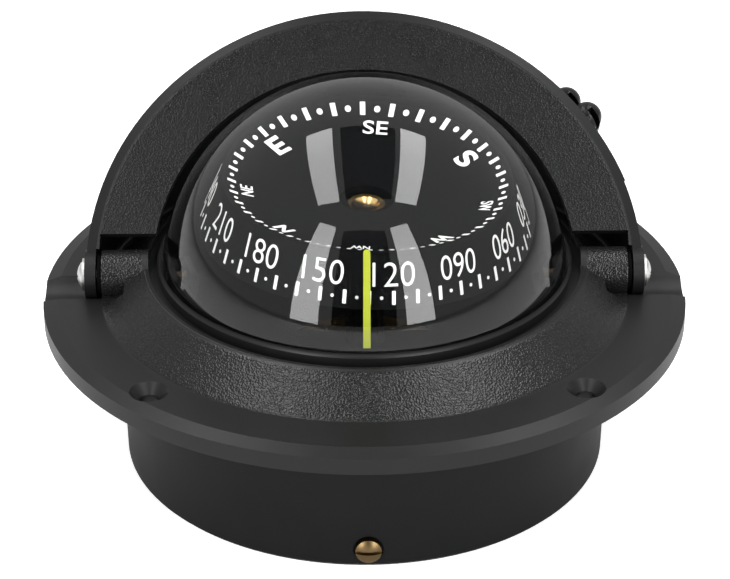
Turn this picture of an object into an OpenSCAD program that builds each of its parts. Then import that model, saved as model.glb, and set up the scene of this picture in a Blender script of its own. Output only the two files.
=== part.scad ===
// Flush-mount marine compass with a liquid-filled dome and a swinging sun hood.
// Origin: on the compass axis, in the plane of the flange's underside.
// +Z points up out of the panel, and the helmsman looks along +Y.

/* [Flange] */
// Width of the flange outside the case
flange_w = 17; // [15:0.5:22]
// Thickness of the flange
flange_t = 4.75; // [4.25:0.25:6]
// Width of the bevel round the flange's upper edge
flange_bevel_w = 3.3; // [1:0.1:4]
// Height of that bevel
flange_bevel_h = 0.95; // [0.5:0.05:2]
// Distance of the panel screw holes inside the flange's edge
panel_edge = 7; // [5.5:0.25:8]
// Number of panel screw holes
panel_holes = 4; // [4:1:4]
// Radius of each panel screw hole
panel_hole_r = 2.15; // [1.5:0.05:2.5]
// Radius of the countersink at the flange's upper face
panel_sink_r = 4.25; // [3:0.05:4.75]

/* [Raised ring] */
// Width of the raised ring's slope
ring_run = 10.1; // [9:0.1:11]
// Width of the raised ring's crest, outside the groove
crest_w = 0.9; // [0.8:0.1:1.5]
// Height of the raised ring above the flange
ring_h = 6.9; // [6:0.1:7.2]
// Rounding of the raised ring's upper edge
ring_round = 0.5; // [0.2:0.05:0.6]
// Wall thickness of the raised ring
ring_wall = 2.4; // [1.8:0.1:2.8]
// Width of the small lip round the dome
lip_w = 0.6; // [0.5:0.05:0.9]
// Height of the lip above the flange, at the dome
lip_h = 8.7; // [8:0.1:8.9]
// Height of the lip above the flange, at its outer edge
lip_edge_h = 7.8; // [7:0.1:7.9]
// Width of the groove outside the lip
groove_w = 2; // [1.5:0.1:2.2]
// Depth of that groove below the ring's crest
groove_d = 1.3; // [0.8:0.1:1.6]
// Gap between the dome and the lip's bore
dome_gap = 0.3; // [0.2:0.05:0.4]

/* [Case] */
// Gap between the capsule and the case's wall
capsule_gap = 0.6; // [0.4:0.1:1.5]
// Room under the bowl, down to the case's lower face
under_room = 18.05; // [17.5:0.05:24]
// Wall thickness of the case
case_wall = 2.1; // [1.6:0.1:2.2]
// Floor thickness of the case
case_floor = 2.4; // [2:0.1:2.6]
// How much narrower the case is at its lower end, on the radius
case_draft = 0.7; // [0.3:0.05:0.9]
// Bevel round the case's lower edge
case_bevel = 0.9; // [0.3:0.1:1.2]
// How far the case reaches up into the bezel
case_entry = 2.5; // [2:0.1:2.7]
// Gap between the case and the bezel's bore
case_gap = 0.1; // [0.05:0.05:0.2]

/* [Dome and bowl] */
// Outer radius of the clear dome
dome_r = 46.1; // [45.8:0.1:46.2]
// Height of the dome's centre above the flange's underside
dome_z = 7.4; // [7:0.1:8]
// Wall thickness of the dome
dome_wall = 2.6; // [2:0.1:3]
// Width of the dome's foot flange outside the dome
foot_w = 7.2; // [6.8:0.1:8]
// Height of the dome's foot flange's upper face
dome_foot_z = 2.2; // [2:0.1:2.4]
// Thickness of the dome's foot flange
dome_foot_t = 2.8; // [2:0.1:3]
// Thickness of the dome's seal
seal_t = 1; // [0.6:0.1:1.4]
// Thickness of the bowl's flange
bowl_flange_t = 2.4; // [2:0.1:3]
// Depth of the bowl's floor below its flange's upper face, outside
bowl_depth = 15.4; // [15:0.1:16]
// Width of the bowl's flange outside its wall
bowl_edge_w = 7.3; // [7.1:0.1:8]
// Wall and floor thickness of the bowl
bowl_wall = 2.4; // [2:0.1:2.6]
// Radius of the bowl's lower corner, outside
bowl_corner_r = 9; // [6:0.5:10]
// Thickness of the clamp ring
clamp_t = 1.2; // [1:0.1:1.6]
// Distance of the clamp screws inside the capsule's edge
clamp_edge = 2.9; // [2.7:0.1:3.1]
// Number of clamp screws
clamp_screws_n = 8; // [6:1:10]
// Radius of a clamp screw's shank
clamp_screw_r = 1.25; // [1:0.05:1.4]
// Radius of a clamp screw's head
clamp_head_r = 2.2; // [1.8:0.1:2.4]
// Height of a clamp screw's head
clamp_head_h = 1.5; // [1:0.1:2]
// Depth of the clamp screws' holes in the bezel
clamp_bite = 4; // [3:0.1:4.5]
// Space beyond each screw's end, and wall over the clamp screws' holes
screw_room = 1; // [0.6:0.1:1.4]

/* [Hood] */
// Gap between the hood's wall and the raised ring's foot
hood_gap = 0.7; // [0.5:0.1:1.5]
// Wall thickness of the hood
hood_wall = 2.5; // [2:0.1:2.6]
// Height of the pivot axis above the flange's underside
pivot_z = 8; // [7.8:0.1:8.4]
// Angle that the open hood leans back from upright
hood_lean = 46.4; // [40:0.2:50]
// Distance of the hood's front face ahead of the pivot axis
hood_front = 4.4; // [3.5:0.1:4.8]
// Gap between the hood's front face and the dome
face_gap = 1.9; // [1.5:0.1:4]
// Thickness of the front face
face_t = 2.2; // [1.6:0.1:2.6]
// Height of the front face's lower edge above the pivot axis
face_cut_h = 8.2; // [7.5:0.1:9]
// Width of the smooth bevel round the front face
rim_w = 2.3; // [1.5:0.1:2.6]
// Gap under the open hood
hood_rest_gap = 0.4; // [0.3:0.05:0.8]
// Radius of the hood's round ends
ear_r = 5.6; // [5:0.1:5.8]
// Gap between a pivot boss and the hood's round end
ear_gap = 1.3; // [1.25:0.05:1.6]
// Thickness of each round end
ear_t = 2.5; // [2:0.1:2.6]
// Radius of the channel that the round ends swing in
channel_r = 6.4; // [6.2:0.1:6.6]
// Radius of the pivot bosses on the bezel
boss_r = 5.6; // [5:0.1:5.8]
// Distance of each boss's end inside the raised ring's foot
boss_back = 0.5; // [0.4:0.1:1]
// Length of the clear pocket round each boss, from its end inwards
pocket_l = 5.2; // [4:0.1:5.4]
// Half the width of that pocket
pocket_half_w = 9.5; // [7:0.5:11]
// Height of the pocket's floor above the flange
pocket_floor = 0.2; // [0.1:0.05:0.4]
// Radius of the screw shoulder that the hood turns on
shoulder_r = 2; // [1.8:0.05:2.2]
// Running clearance round that shoulder
shoulder_gap = 0.06; // [0.02:0.01:0.1]
// Radius of the hood screw's head
hood_head_r = 3.7; // [3:0.1:4.2]
// Height of the hood screw's head
hood_head_h = 2; // [1.6:0.1:2.4]
// Depth of the cross recess in the head
recess_d = 1.1; // [0.8:0.1:1.3]
// Width of the cross recess's arms
recess_w = 0.9; // [0.6:0.1:1.1]
// Radius of the threaded part of the hood screw
hood_thread_r = 1.5; // [1.3:0.05:1.6]
// Outer radius of the threaded insert
insert_r = 2.6; // [2.4:0.1:3]
// Length of the threaded insert
insert_l = 7.5; // [6:0.5:8]
// Radius of the thin washer
washer_r = 4.6; // [4:0.1:4.8]
// Thickness of the thin washer
washer_t = 0.95; // [0.6:0.05:1.05]

/* [Thumb ribs] */
// Radius of a thumb rib
rib_r = 3.5; // [2.5:0.1:3.6]
// Length of a thumb rib, front to back
rib_l = 13; // [10:0.5:15]
// Distance of the ribs' centres outside the hood's wall
rib_out = 2; // [1.5:0.1:2.4]
// Width of the slot cut in a rib's front end
rib_slot_w = 1.4; // [1:0.1:1.8]
// Length of that slot
rib_slot_l = 4; // [3:0.1:4.5]
// Depth of that slot
rib_slot_d = 6; // [4:0.5:8]
// Height of the pad that the ribs stand on
pad_h = 1; // [0.5:0.1:1.4]
// Length of the pad, front to back
pad_l = 17; // [15:0.5:20]
// Distances of the ribs' front ends behind the pivot axis, upper rib first
rib_starts = [3.4, -0.4];
// Angles of the ribs round the hood, from the right pivot
rib_turns = [42.6, 36.6];
// Angles where the pad starts and how far it runs
pad_turns = [20, 28];

/* [Card] */
// How much narrower the card's flat top is, on the radius
card_slope = 2; // [1.5:0.1:4]
// Room between the card's skirt and the dome's wall
card_room = 15.8; // [15.7:0.1:17]
// Height of the card's flat middle above the pivot point
card_mid_h = 8.7; // [8.3:0.05:9]
// Radius of the card's flat middle
dish_flat_r = 16.1; // [15:0.1:18]
// Radius of the hollow curve that rises from there to the card's rim
dish_r = 21; // [16:0.5:26]
// Width of the card's rim outside that curve
rim_land = 1; // [0.6:0.1:1.4]
// Depth of the card's skirt below the pivot point
card_drop = 0.55; // [0.3:0.05:0.8]
// Thickness of the card
card_t = 0.9; // [0.7:0.1:1.2]
// Radius of the hole in the card's middle
card_hole_r = 4.6; // [4:0.1:6]
// Height of the pivot point above the flange's underside
tip_z = 12.75; // [12.5:0.05:13]
// Tilt of the floating card, near side up
card_dip = 5.3; // [0:0.1:6]
// Tilt of the floating card, right side down
card_list = 2.6; // [0:0.1:3]
// Radius of the float under the card
float_r = 15; // [12:0.5:16]
// Height of the float
float_h = 6; // [5:0.1:6.5]
// Wall thickness of the float
float_wall = 1.2; // [0.8:0.1:1.6]
// Length of each card magnet
magnet_l = 24; // [18:1:26]
// Width of each card magnet
magnet_w = 3; // [2:0.5:4]
// Height of each card magnet
magnet_h = 2.6; // [2:0.1:3]
// Distance of each card magnet from the middle
magnet_off = 6.5; // [5:0.5:8]
// Radius of the jewel cup's wide upper end
cup_r = 3.1; // [2.8:0.1:3.3]
// Depth of that end below the card's flat middle
cup_sink = 0.7; // [0.3:0.1:1.5]
// Width of the cup's rim
cup_rim_w = 0.9; // [0.6:0.1:1.2]
// Depth of the hollow in the cup's end
cup_hollow = 1.4; // [1:0.1:2]

/* [Gimbal] */
// Gap between a cradle arm and the gimbal ring
gimbal_gap = 3.7; // [3:0.1:4]
// Radial thickness of the gimbal ring
gimbal_t = 2.4; // [2:0.1:2.6]
// Height of the gimbal ring
gimbal_h = 4; // [3.6:0.1:5]
// Radius of the gimbal and cradle pins
pin_r = 0.9; // [0.7:0.05:1.1]
// Running clearance round those pins
pin_gap = 0.05; // [0.02:0.01:0.1]
// Gap between the card's skirt and a cradle arm
arm_gap = 1.2; // [1.1:0.1:1.5]
// Thickness of the cradle's arms and base
arm_t = 1.6; // [1.2:0.1:1.8]
// Width of the cradle's arms and base
arm_w = 7; // [6:0.5:8]
// Height of a cradle arm's top above its pin
arm_rise = 1.9; // [1.7:0.1:2]
// Depth of the cradle's base below the pins
cradle_drop = 13; // [12:0.1:13.2]
// Slope run at the cradle's lower corners
cradle_corner = 8; // [6:0.5:9]
// Radius of the cradle's weight
weight_r = 12; // [9:0.5:12]
// Height of the cradle's weight
weight_h = 4.6; // [3:0.1:4.6]
// Radius of the pivot post
post_r = 1.2; // [1:0.1:1.4]
// Height of the pivot post's point
point_h = 2.4; // [2:0.1:3]
// Gap between the pivot point and its jewel
jewel_gap = 0.08; // [0.04:0.01:0.1]
// Gap between the gimbal ring and a pin bracket
bracket_gap = 1; // [0.8:0.1:1.2]
// Thickness of each pin bracket
bracket_t = 2.6; // [2.2:0.1:2.8]
// Width of each pin bracket
bracket_w = 6; // [5:0.5:8]
// Height of each pin bracket above its pin
bracket_rise = 2.2; // [2:0.1:3]

/* [Lubber line] */
// Width of the index post
lubber_w = 1.4; // [1.2:0.1:2]
// Thickness of the index post
lubber_t = 0.8; // [0.6:0.1:0.9]
// Gap between the card's skirt and the index post
lubber_gap = 1.6; // [1.4:0.1:2]
// Height of the index post's top above the card's top
lubber_rise = 5.7; // [4:0.1:7]
// Width of the strip under the card that carries the index post
lubber_strip_w = 4; // [3:0.1:6]
// Depth of that strip's underside below the pins
strip_drop = 7; // [6:0.1:8]
// Radius of the hub that carries the strip
hub_r = 3; // [2:0.1:4]

/* [Compensators] */
// Height of the front compensator rod above the case's floor
comp_front_h = 2.4; // [2.35:0.05:3]
// Height of the side compensator rod above the front one
comp_step = 5.95; // [5.5:0.05:6.2]
// Radius of a compensator rod
comp_rod_r = 1.6; // [1.3:0.1:1.7]
// Running clearance round a compensator rod
comp_gap = 0.05; // [0.02:0.01:0.1]
// Radius of a compensator rod's head
comp_head_r = 2.85; // [2.4:0.05:3]
// Length of a compensator rod's head
comp_head_l = 2.6; // [2:0.1:3]
// Gap round that head in its recess in the case
comp_clear = 0.45; // [0.3:0.05:0.6]
// Depth of that recess inside the case's foot radius
comp_sink = 0.6; // [0.4:0.1:0.8]
// Width of the screwdriver slot
slot_w = 0.8; // [0.6:0.1:1]
// Depth of the screwdriver slot
slot_d = 1.1; // [0.8:0.1:1.4]
// Outer radius of a rod's bush
bush_r = 2.6; // [2.4:0.1:2.7]
// Length of a rod's bush
bush_l = 5; // [4:0.5:6]
// Distance of each far pillar inside the case's outer face
pillar_room = 12; // [11:0.5:14]
// Thickness of each far pillar
pillar_t = 5; // [4:0.5:6]
// Half the width of each far pillar
pillar_half_w = 3.2; // [2.8:0.1:4]
// Outer radius of a compensator magnet
comp_magnet_r = 2.1; // [1.9:0.05:2.2]
// Length of a compensator magnet
comp_magnet_l = 9; // [6:0.5:10]
// Distance of a compensator magnet from the middle
comp_magnet_off = 12; // [8:0.5:20]

/* [Diaphragm] */
// Distance from the lamp's axis in to the diaphragm's edge
diaphragm_edge = 9.1; // [8.5:0.1:10]
// Thickness of the diaphragm
diaphragm_t = 0.9; // [0.6:0.1:1.2]
// Width of the diaphragm's clamped edge
diaphragm_band = 6; // [5:0.5:8]
// Thickness of its retaining ring
diaphragm_ring_t = 1.2; // [1:0.1:1.5]
// Number of its screws
diaphragm_screws_n = 6; // [4:1:8]
// Radius of a diaphragm screw's shank
diaphragm_screw_r = 0.9; // [0.7:0.1:1]
// Length of a diaphragm screw's shank
diaphragm_screw_l = 3.4; // [3:0.1:3.8]

/* [Lamp and lead] */
// Distance of the lamp's axis inside the edge of the bowl's flat floor
lamp_edge = 5.9; // [5.5:0.1:7]
// Radius of the coloured lamp lens
lens_r = 4.2; // [3.5:0.1:4.5]
// Radius of the lamp bulb
bulb_r = 2.6; // [2:0.1:3]
// Length of the lamp bulb
bulb_l = 5.4; // [4:0.1:6]
// Radius of the lamp socket
socket_r = 4; // [3.5:0.1:4.5]
// Height of the lamp socket
socket_h = 8; // [6:0.5:8.5]
// Radius of the lead's bore through the grommet
lead_r = 1.6; // [1.2:0.1:2]
// Radius of the grommet's neck
grommet_r = 3; // [2.6:0.1:3.6]
// Radius of the grommet's flanges
grommet_flange_r = 4.4; // [4:0.1:5]
// Thickness of each grommet flange
grommet_flange_t = 1.2; // [1:0.1:1.6]
// Height of the grommet above the case's floor
grommet_h = 7.65; // [6:0.05:10]
// Angle of the grommet from the right side, seen from above
grommet_turn = 112; // [105:1:118]

/* [Case screws] */
// Distance of the case screws inside the bowl's edge
stand_edge = 6; // [5:0.5:8]
// Angle of each case screw from the side-to-side line
case_screw_turn = 20; // [16:1:24]
// Radius of a case screw's shank
case_screw_r = 1.5; // [1.2:0.1:1.6]
// Radius of a case screw's head
case_head_r = 2.8; // [2.4:0.1:3]
// Height of a case screw's head
case_head_h = 1.4; // [1:0.1:1.5]
// Radius of the pillars that the case screws enter
stand_r = 3.4; // [3:0.1:3.6]
// How far a case screw reaches into its pillar
case_bite = 8; // [6:0.5:10]

/* [Filling plug] */
// Radius of the filling plug's thread
plug_r = 2.4; // [2:0.1:3]
// Radius of the filling plug's head
plug_head_r = 4; // [3.5:0.1:4.5]
// Height of the filling plug's head
plug_head_h = 1.6; // [1:0.1:2]

/* [Hidden] */
$fn = 96;

// One overrun for every cut
over = 1;

// Outward from the dome
bezel_bore_r = dome_r + dome_gap;
lip_r = bezel_bore_r + lip_w;
groove_r = lip_r + groove_w;
ring_crest_r = groove_r + crest_w;
ring_foot_r = ring_crest_r + ring_run;
capsule_r = dome_r + foot_w;
bowl_r = capsule_r - bowl_edge_w;
case_r = capsule_r + capsule_gap + case_wall;
case_foot_r = case_r - case_draft;
flange_r = case_r + flange_w;
panel_ring_r = flange_r - panel_edge;
hood_inner_r = ring_foot_r + hood_gap;
hood_r = hood_inner_r + hood_wall;
boss_end = ring_foot_r - boss_back;
ear_in = boss_end + ear_gap;
ear_out = ear_in + ear_t;
washer_in = boss_end + shoulder_gap;
face_inner_r = dome_r + face_gap;

// Inward from the dome
dome_inner_r = dome_r - dome_wall;
card_skirt_r = dome_inner_r - card_room;
card_top_r = card_skirt_r - card_slope;
arm_in = card_skirt_r + arm_gap;
arm_out = arm_in + arm_t;
gimbal_r = arm_out + gimbal_gap;
gimbal_out_r = gimbal_r + gimbal_t;
bracket_in = gimbal_out_r + bracket_gap;
bracket_out = bracket_in + bracket_t;
lubber_in = card_skirt_r + lubber_gap;

// Bezel
ring_top_z = flange_t + ring_h;
groove_z = ring_top_z - groove_d;
ring_slope = atan(ring_h / ring_run);
bezel_wall_r = bezel_bore_r + ring_wall;
shelf_r = case_r - case_wall - case_gap;
inner_drop = ring_wall / cos(ring_slope);
hood_level_z = flange_t + hood_rest_gap;

// Height of the raised ring's sloping face at a radius
function ring_face_z(r) = flange_t + (ring_foot_r - r) * tan(ring_slope);

// Capsule
dome_under_z = dome_foot_z - dome_foot_t;
bowl_top_z = dome_under_z - seal_t;
bowl_under_z = bowl_top_z - bowl_depth;
bowl_floor_z = bowl_under_z + bowl_wall;
clamp_screw_ring_r = capsule_r - clamp_edge;
clamp_top_z = bowl_top_z - bowl_flange_t;
clamp_under_z = clamp_top_z - clamp_t;
clamp_boss_r = clamp_screw_r + case_wall / 2;

// Under the bowl
case_depth = under_room - bowl_under_z;
case_floor_z = case_floor - case_depth;
case_screw_ring_r = bowl_r - stand_edge;
comp_front_z = case_floor_z + comp_front_h;
comp_side_z = comp_front_z + comp_step;
comp_seat_r = case_foot_r - comp_sink;
pillar_in = case_r - pillar_room;
lamp_ring_r = bowl_r - bowl_corner_r - lamp_edge;
lamp_off = lamp_ring_r * sin(45);
grommet_z = case_floor_z + grommet_h;
diaphragm_r = lamp_ring_r - diaphragm_edge;
diaphragm_hole_r = diaphragm_r - diaphragm_band;
diaphragm_screw_ring_r = (diaphragm_r + diaphragm_hole_r) / 2;
diaphragm_under_z = bowl_under_z - diaphragm_t;
diaphragm_ring_under_z = diaphragm_under_z - diaphragm_ring_t;

// Card, measured from the pivot point
dish_out_r = card_top_r - rim_land;
dish_reach = dish_out_r - dish_flat_r;
card_top_h = card_mid_h + dish_r - sqrt(dish_r * dish_r - dish_reach * dish_reach);
float_top_h = card_mid_h - card_t;
cup_top_h = card_mid_h - cup_sink;
float_under_h = float_top_h - float_h;
jewel_top_h = float_under_h + float_wall;
jewel_r = post_r + float_wall;

// Gimbal, about the dome's centre
gimbal_z = dome_z;
cradle_base_z = gimbal_z - cradle_drop;
strip_z = gimbal_z - strip_drop;
lubber_top_z = tip_z + card_top_h + lubber_rise;

// Finishes
black_plastic = "#222326";
hood_plastic = "#2b2c2f";
case_plastic = "#1c1d1f";
card_black = "#141516";
rubber = "#101112";
brass = "#c79a45";
steel = "#c9ccd0";

// Places its children on the left and the right side, mirrored
module both_sides() {
    for (left = [0, 1]) mirror([left, 0, 0]) children();
}

// Places its children, drawn along +X, in front and behind
module both_ends() {
    for (rear = [0, 1]) mirror([0, rear, 0]) rotate([0, 0, -90]) children();
}

// A straight bar along +X from one distance to another
module bar_x(from, to, r) {
    translate([from, 0, 0]) rotate([0, 90, 0]) cylinder(h = to - from, r = r);
}

// A tube along +X
module tube_x(from, to, r, bore) {
    difference() {
        bar_x(from, to, r);
        bar_x(from - over, to + over, bore);
    }
}

// A tube along +Z
module tube_z(from, to, r, bore) {
    translate([0, 0, from]) difference() {
        cylinder(h = to - from, r = r);
        translate([0, 0, -over]) cylinder(h = to - from + over + over, r = bore);
    }
}

// Copies its children evenly round the axis
module round_axis(count, radius, first = 0) {
    for (i = [0 : count - 1])
        rotate([0, 0, first + i * 360 / count]) translate([radius, 0, 0]) children();
}

// Half section of the bezel
module bezel_section() {
    round_x = ring_crest_r - ring_round * tan(ring_slope / 2);
    round_z = ring_top_z - ring_round;
    polygon([
        [case_r + case_gap, 0],
        [flange_r, 0],
        [flange_r, flange_t - flange_bevel_h],
        [flange_r - flange_bevel_w, flange_t],
        [ring_foot_r, flange_t],
        [round_x + ring_round * sin(ring_slope), round_z + ring_round * cos(ring_slope)],
        [round_x, ring_top_z],
        [groove_r, ring_top_z],
        [groove_r, groove_z],
        [lip_r, groove_z],
        [lip_r, flange_t + lip_edge_h],
        [bezel_bore_r, flange_t + lip_h],
        [bezel_bore_r, dome_foot_z],
        [bezel_wall_r, dome_foot_z],
        [bezel_wall_r, ring_face_z(bezel_wall_r) - inner_drop],
        [shelf_r, ring_face_z(shelf_r) - inner_drop],
        [shelf_r, case_entry],
        [case_r + case_gap, case_entry]
    ]);
    translate([round_x, round_z]) circle(ring_round);
}

// The pivot boss on the right, kept clear of the groove
module pivot_boss() {
    difference() {
        translate([0, 0, pivot_z]) bar_x(bezel_bore_r + dome_gap, boss_end, boss_r);
        translate([0, 0, groove_z]) cylinder(h = boss_end, r = groove_r);
        translate([0, 0, -boss_r]) cylinder(h = boss_r + dome_foot_z, r = boss_end + over);
    }
}

module bezel() {
    sink_d = panel_sink_r - panel_hole_r;
    color(black_plastic) difference() {
        union() {
            difference() {
                rotate_extrude() bezel_section();
                both_sides() translate([boss_end - pocket_l, -pocket_half_w, flange_t + pocket_floor])
                    cube([pocket_l + ring_run, 2 * pocket_half_w, ring_h]);
            }
            both_sides() pivot_boss();
            round_axis(clamp_screws_n, clamp_screw_ring_r, 180 / clamp_screws_n)
                translate([0, 0, dome_foot_z]) cylinder(h = clamp_bite + screw_room, r = clamp_boss_r);
        }
        round_axis(panel_holes, panel_ring_r, 180 / panel_holes) {
            translate([0, 0, -over]) cylinder(h = flange_t + over + over, r = panel_hole_r);
            translate([0, 0, flange_t - sink_d])
                cylinder(h = sink_d + over, r1 = panel_hole_r, r2 = panel_sink_r + over);
        }
        round_axis(clamp_screws_n, clamp_screw_ring_r, 180 / clamp_screws_n)
            translate([0, 0, dome_foot_z - over]) cylinder(h = clamp_bite + over, r = clamp_screw_r);
        both_sides() translate([0, 0, pivot_z]) {
            bar_x(boss_end, flange_r + over, channel_r);
            bar_x(boss_end - insert_l, boss_end + over, insert_r);
        }
    }
}

module body_can() {
    color(case_plastic) difference() {
        union() {
            rotate_extrude() difference() {
                polygon([
                    [0, -case_depth],
                    [case_foot_r - case_bevel, -case_depth],
                    [case_foot_r, case_bevel - case_depth],
                    [case_r, 0],
                    [case_r, case_entry],
                    [0, case_entry]
                ]);
                translate([-over, case_floor_z])
                    square([case_r - case_wall + over, case_depth + case_entry]);
            }
            // Thick pads inside the wall round each bush
            intersection() {
                union() {
                    translate([0, 0, comp_front_z]) rotate([0, 0, -90])
                        bar_x(comp_seat_r - bush_l, case_r - case_wall / 2, bush_r + case_wall / 2);
                    translate([0, 0, comp_side_z])
                        bar_x(comp_seat_r - bush_l, case_r - case_wall / 2, bush_r + case_wall / 2);
                }
                translate([0, 0, case_floor_z - case_floor / 2])
                    cylinder(h = case_depth, r = case_r - case_wall / 2);
            }
            // Far bearing pillars
            translate([-pillar_half_w, pillar_in, case_floor_z - case_floor / 2])
                cube([2 * pillar_half_w, pillar_t,
                      comp_front_z + pillar_half_w - case_floor_z + case_floor / 2]);
            translate([-pillar_in - pillar_t, -pillar_half_w, case_floor_z - case_floor / 2])
                cube([pillar_t, 2 * pillar_half_w,
                      comp_side_z + pillar_half_w - case_floor_z + case_floor / 2]);
        }
        translate([0, 0, comp_front_z]) rotate([0, 0, -90]) rod_opening();
        translate([0, 0, comp_side_z]) rod_opening();
        translate([0, 0, comp_front_z]) rotate([0, 0, 90])
            bar_x(pillar_in - over, pillar_in + pillar_t + over, comp_rod_r + comp_gap);
        translate([0, 0, comp_side_z]) rotate([0, 0, 180])
            bar_x(pillar_in - over, pillar_in + pillar_t + over, comp_rod_r + comp_gap);
        at_case_screws() {
            translate([0, 0, -case_depth - over]) cylinder(h = case_floor + over + over, r = case_screw_r);
            translate([0, 0, -case_depth - over]) cylinder(h = case_head_h + over, r = case_head_r);
        }
        translate([0, 0, grommet_z]) rotate([0, 0, grommet_turn])
            bar_x(case_r / 2, case_r + over, grommet_r);
    }
}

// The hole for a rod's bush along +X, and the round recess for the rod's head
module rod_opening() {
    bar_x(comp_seat_r - bush_l - over, case_r + over, bush_r);
    bar_x(comp_seat_r, case_r + over, comp_head_r + comp_clear);
}

// The four places of the case screws
module at_case_screws() {
    for (side = [0, 180]) for (turn = [-case_screw_turn, case_screw_turn])
        rotate([0, 0, side + turn]) translate([case_screw_ring_r, 0, 0]) children();
}

// Half section of the dome: a hemisphere on a short collar with a foot flange
module dome_section(r, foot) {
    intersection() {
        translate([0, dome_z]) circle(r);
        translate([0, dome_z]) square([r + over, r + over]);
    }
    translate([0, foot]) square([r, dome_z - foot]);
}

module dome() {
    color("#dfe8ee", 0.3) difference() {
        rotate_extrude() difference() {
            union() {
                dome_section(dome_r, dome_under_z);
                translate([0, dome_under_z]) square([capsule_r, dome_foot_t]);
            }
            dome_section(dome_inner_r, dome_under_z - over);
        }
        at_clamp_screws() translate([0, 0, dome_under_z - over])
            cylinder(h = dome_foot_t + over + over, r = clamp_screw_r);
    }
}

// The places of the clamp screws
module at_clamp_screws() {
    round_axis(clamp_screws_n, clamp_screw_ring_r, 180 / clamp_screws_n) children();
}

module dome_seal() {
    color(rubber) difference() {
        tube_z(bowl_top_z, dome_under_z, capsule_r, dome_inner_r);
        at_clamp_screws() translate([0, 0, bowl_top_z - over])
            cylinder(h = seal_t + over + over, r = clamp_screw_r);
    }
}

// Half section of a round dish with a rounded lower corner
module dish_section(r, under, top, corner) {
    translate([0, under]) square([r - corner, top - under]);
    translate([0, under + corner]) square([r, top - under - corner]);
    intersection() {
        translate([r - corner, under + corner]) circle(corner);
        translate([0, under]) square([r, corner]);
    }
}

module bowl() {
    inner_r = bowl_r - bowl_wall;
    color(case_plastic) difference() {
        union() {
            rotate_extrude() difference() {
                union() {
                    dish_section(bowl_r, bowl_under_z, bowl_top_z, bowl_corner_r);
                    translate([0, bowl_top_z - bowl_flange_t]) square([capsule_r, bowl_flange_t]);
                }
                intersection() {
                    dish_section(inner_r, bowl_floor_z, bowl_top_z + over, bowl_corner_r - bowl_wall);
                    translate([0, bowl_floor_z]) square([bowl_r, bowl_depth + over]);
                }
            }
            // Brackets that carry the gimbal pins, front and rear
            both_ends() {
                translate([bracket_in, -bracket_w / 2, bowl_floor_z - bowl_wall / 2])
                    cube([bracket_t, bracket_w,
                          gimbal_z + bracket_rise - bowl_floor_z + bowl_wall / 2]);
                translate([bracket_in, -bracket_w / 2, bowl_top_z - bowl_flange_t - bowl_corner_r / 2])
                    cube([bowl_r - bracket_in - bowl_wall / 2, bracket_w, bowl_corner_r / 2]);
            }
            at_case_screws() translate([0, 0, case_floor_z])
                cylinder(h = bowl_under_z - case_floor_z + bowl_wall / 2, r = stand_r);
        }
        both_ends() translate([0, 0, gimbal_z])
            bar_x(bracket_in - over, bracket_out + over, pin_r);
        at_clamp_screws() translate([0, 0, clamp_top_z - over])
            cylinder(h = bowl_flange_t + over + over, r = clamp_screw_r);
        at_case_screws() translate([0, 0, case_floor_z - over]) cylinder(h = case_bite + over, r = case_screw_r);
        translate([0, 0, bowl_under_z - over])
            cylinder(h = bowl_wall + over + over, r = diaphragm_hole_r);
        round_axis(diaphragm_screws_n, diaphragm_screw_ring_r) translate([0, 0, bowl_under_z - over])
            cylinder(h = diaphragm_screw_l - diaphragm_t - diaphragm_ring_t + over, r = diaphragm_screw_r);
        translate([-lamp_off, lamp_off, bowl_under_z - over])
            cylinder(h = bowl_wall + over + over, r = lens_r);
        translate([lamp_off, lamp_off, bowl_under_z - over])
            cylinder(h = bowl_wall + over + over, r = plug_r);
    }
}

module clamp_ring() {
    color(steel) difference() {
        tube_z(clamp_under_z, clamp_top_z, capsule_r, bowl_r + dome_gap);
        at_clamp_screws() translate([0, 0, clamp_under_z - over])
            cylinder(h = clamp_t + over + over, r = clamp_screw_r);
    }
}

module clamp_screws() {
    color(steel) at_clamp_screws() difference() {
        union() {
            translate([0, 0, clamp_under_z - clamp_head_h]) cylinder(h = clamp_head_h, r = clamp_head_r);
            translate([0, 0, clamp_under_z - clamp_head_h / 2])
                cylinder(h = dome_foot_z + clamp_bite - screw_room - clamp_under_z + clamp_head_h / 2, r = clamp_screw_r);
        }
        cross_recess(clamp_under_z - clamp_head_h, clamp_head_r, clamp_head_h / 2);
    }
}

// Cross recess cut up into a head whose flat faces down at the given height
module cross_recess(under, head_r, depth) {
    for (turn = [0, 90]) rotate([0, 0, turn])
        translate([-head_r / 2, -recess_w / 2, under - over]) cube([head_r, recess_w, depth + over]);
}

module body_screws() {
    color(steel) at_case_screws() difference() {
        union() {
            translate([0, 0, -case_depth]) cylinder(h = case_head_h, r = case_head_r);
            translate([0, 0, -case_depth + case_head_h / 2])
                cylinder(h = case_floor + case_bite - screw_room - case_head_h / 2, r = case_screw_r);
        }
        cross_recess(-case_depth, case_head_r, case_head_h / 2);
    }
}

module diaphragm() {
    color(rubber) difference() {
        translate([0, 0, diaphragm_under_z]) cylinder(h = diaphragm_t, r = diaphragm_r);
        round_axis(diaphragm_screws_n, diaphragm_screw_ring_r) translate([0, 0, diaphragm_under_z - over])
            cylinder(h = diaphragm_t + over + over, r = diaphragm_screw_r);
    }
}

module diaphragm_ring() {
    color(brass) difference() {
        tube_z(diaphragm_ring_under_z, diaphragm_under_z, diaphragm_r, diaphragm_hole_r);
        round_axis(diaphragm_screws_n, diaphragm_screw_ring_r)
            translate([0, 0, diaphragm_ring_under_z - over])
            cylinder(h = diaphragm_ring_t + over + over, r = diaphragm_screw_r);
    }
}

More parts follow.
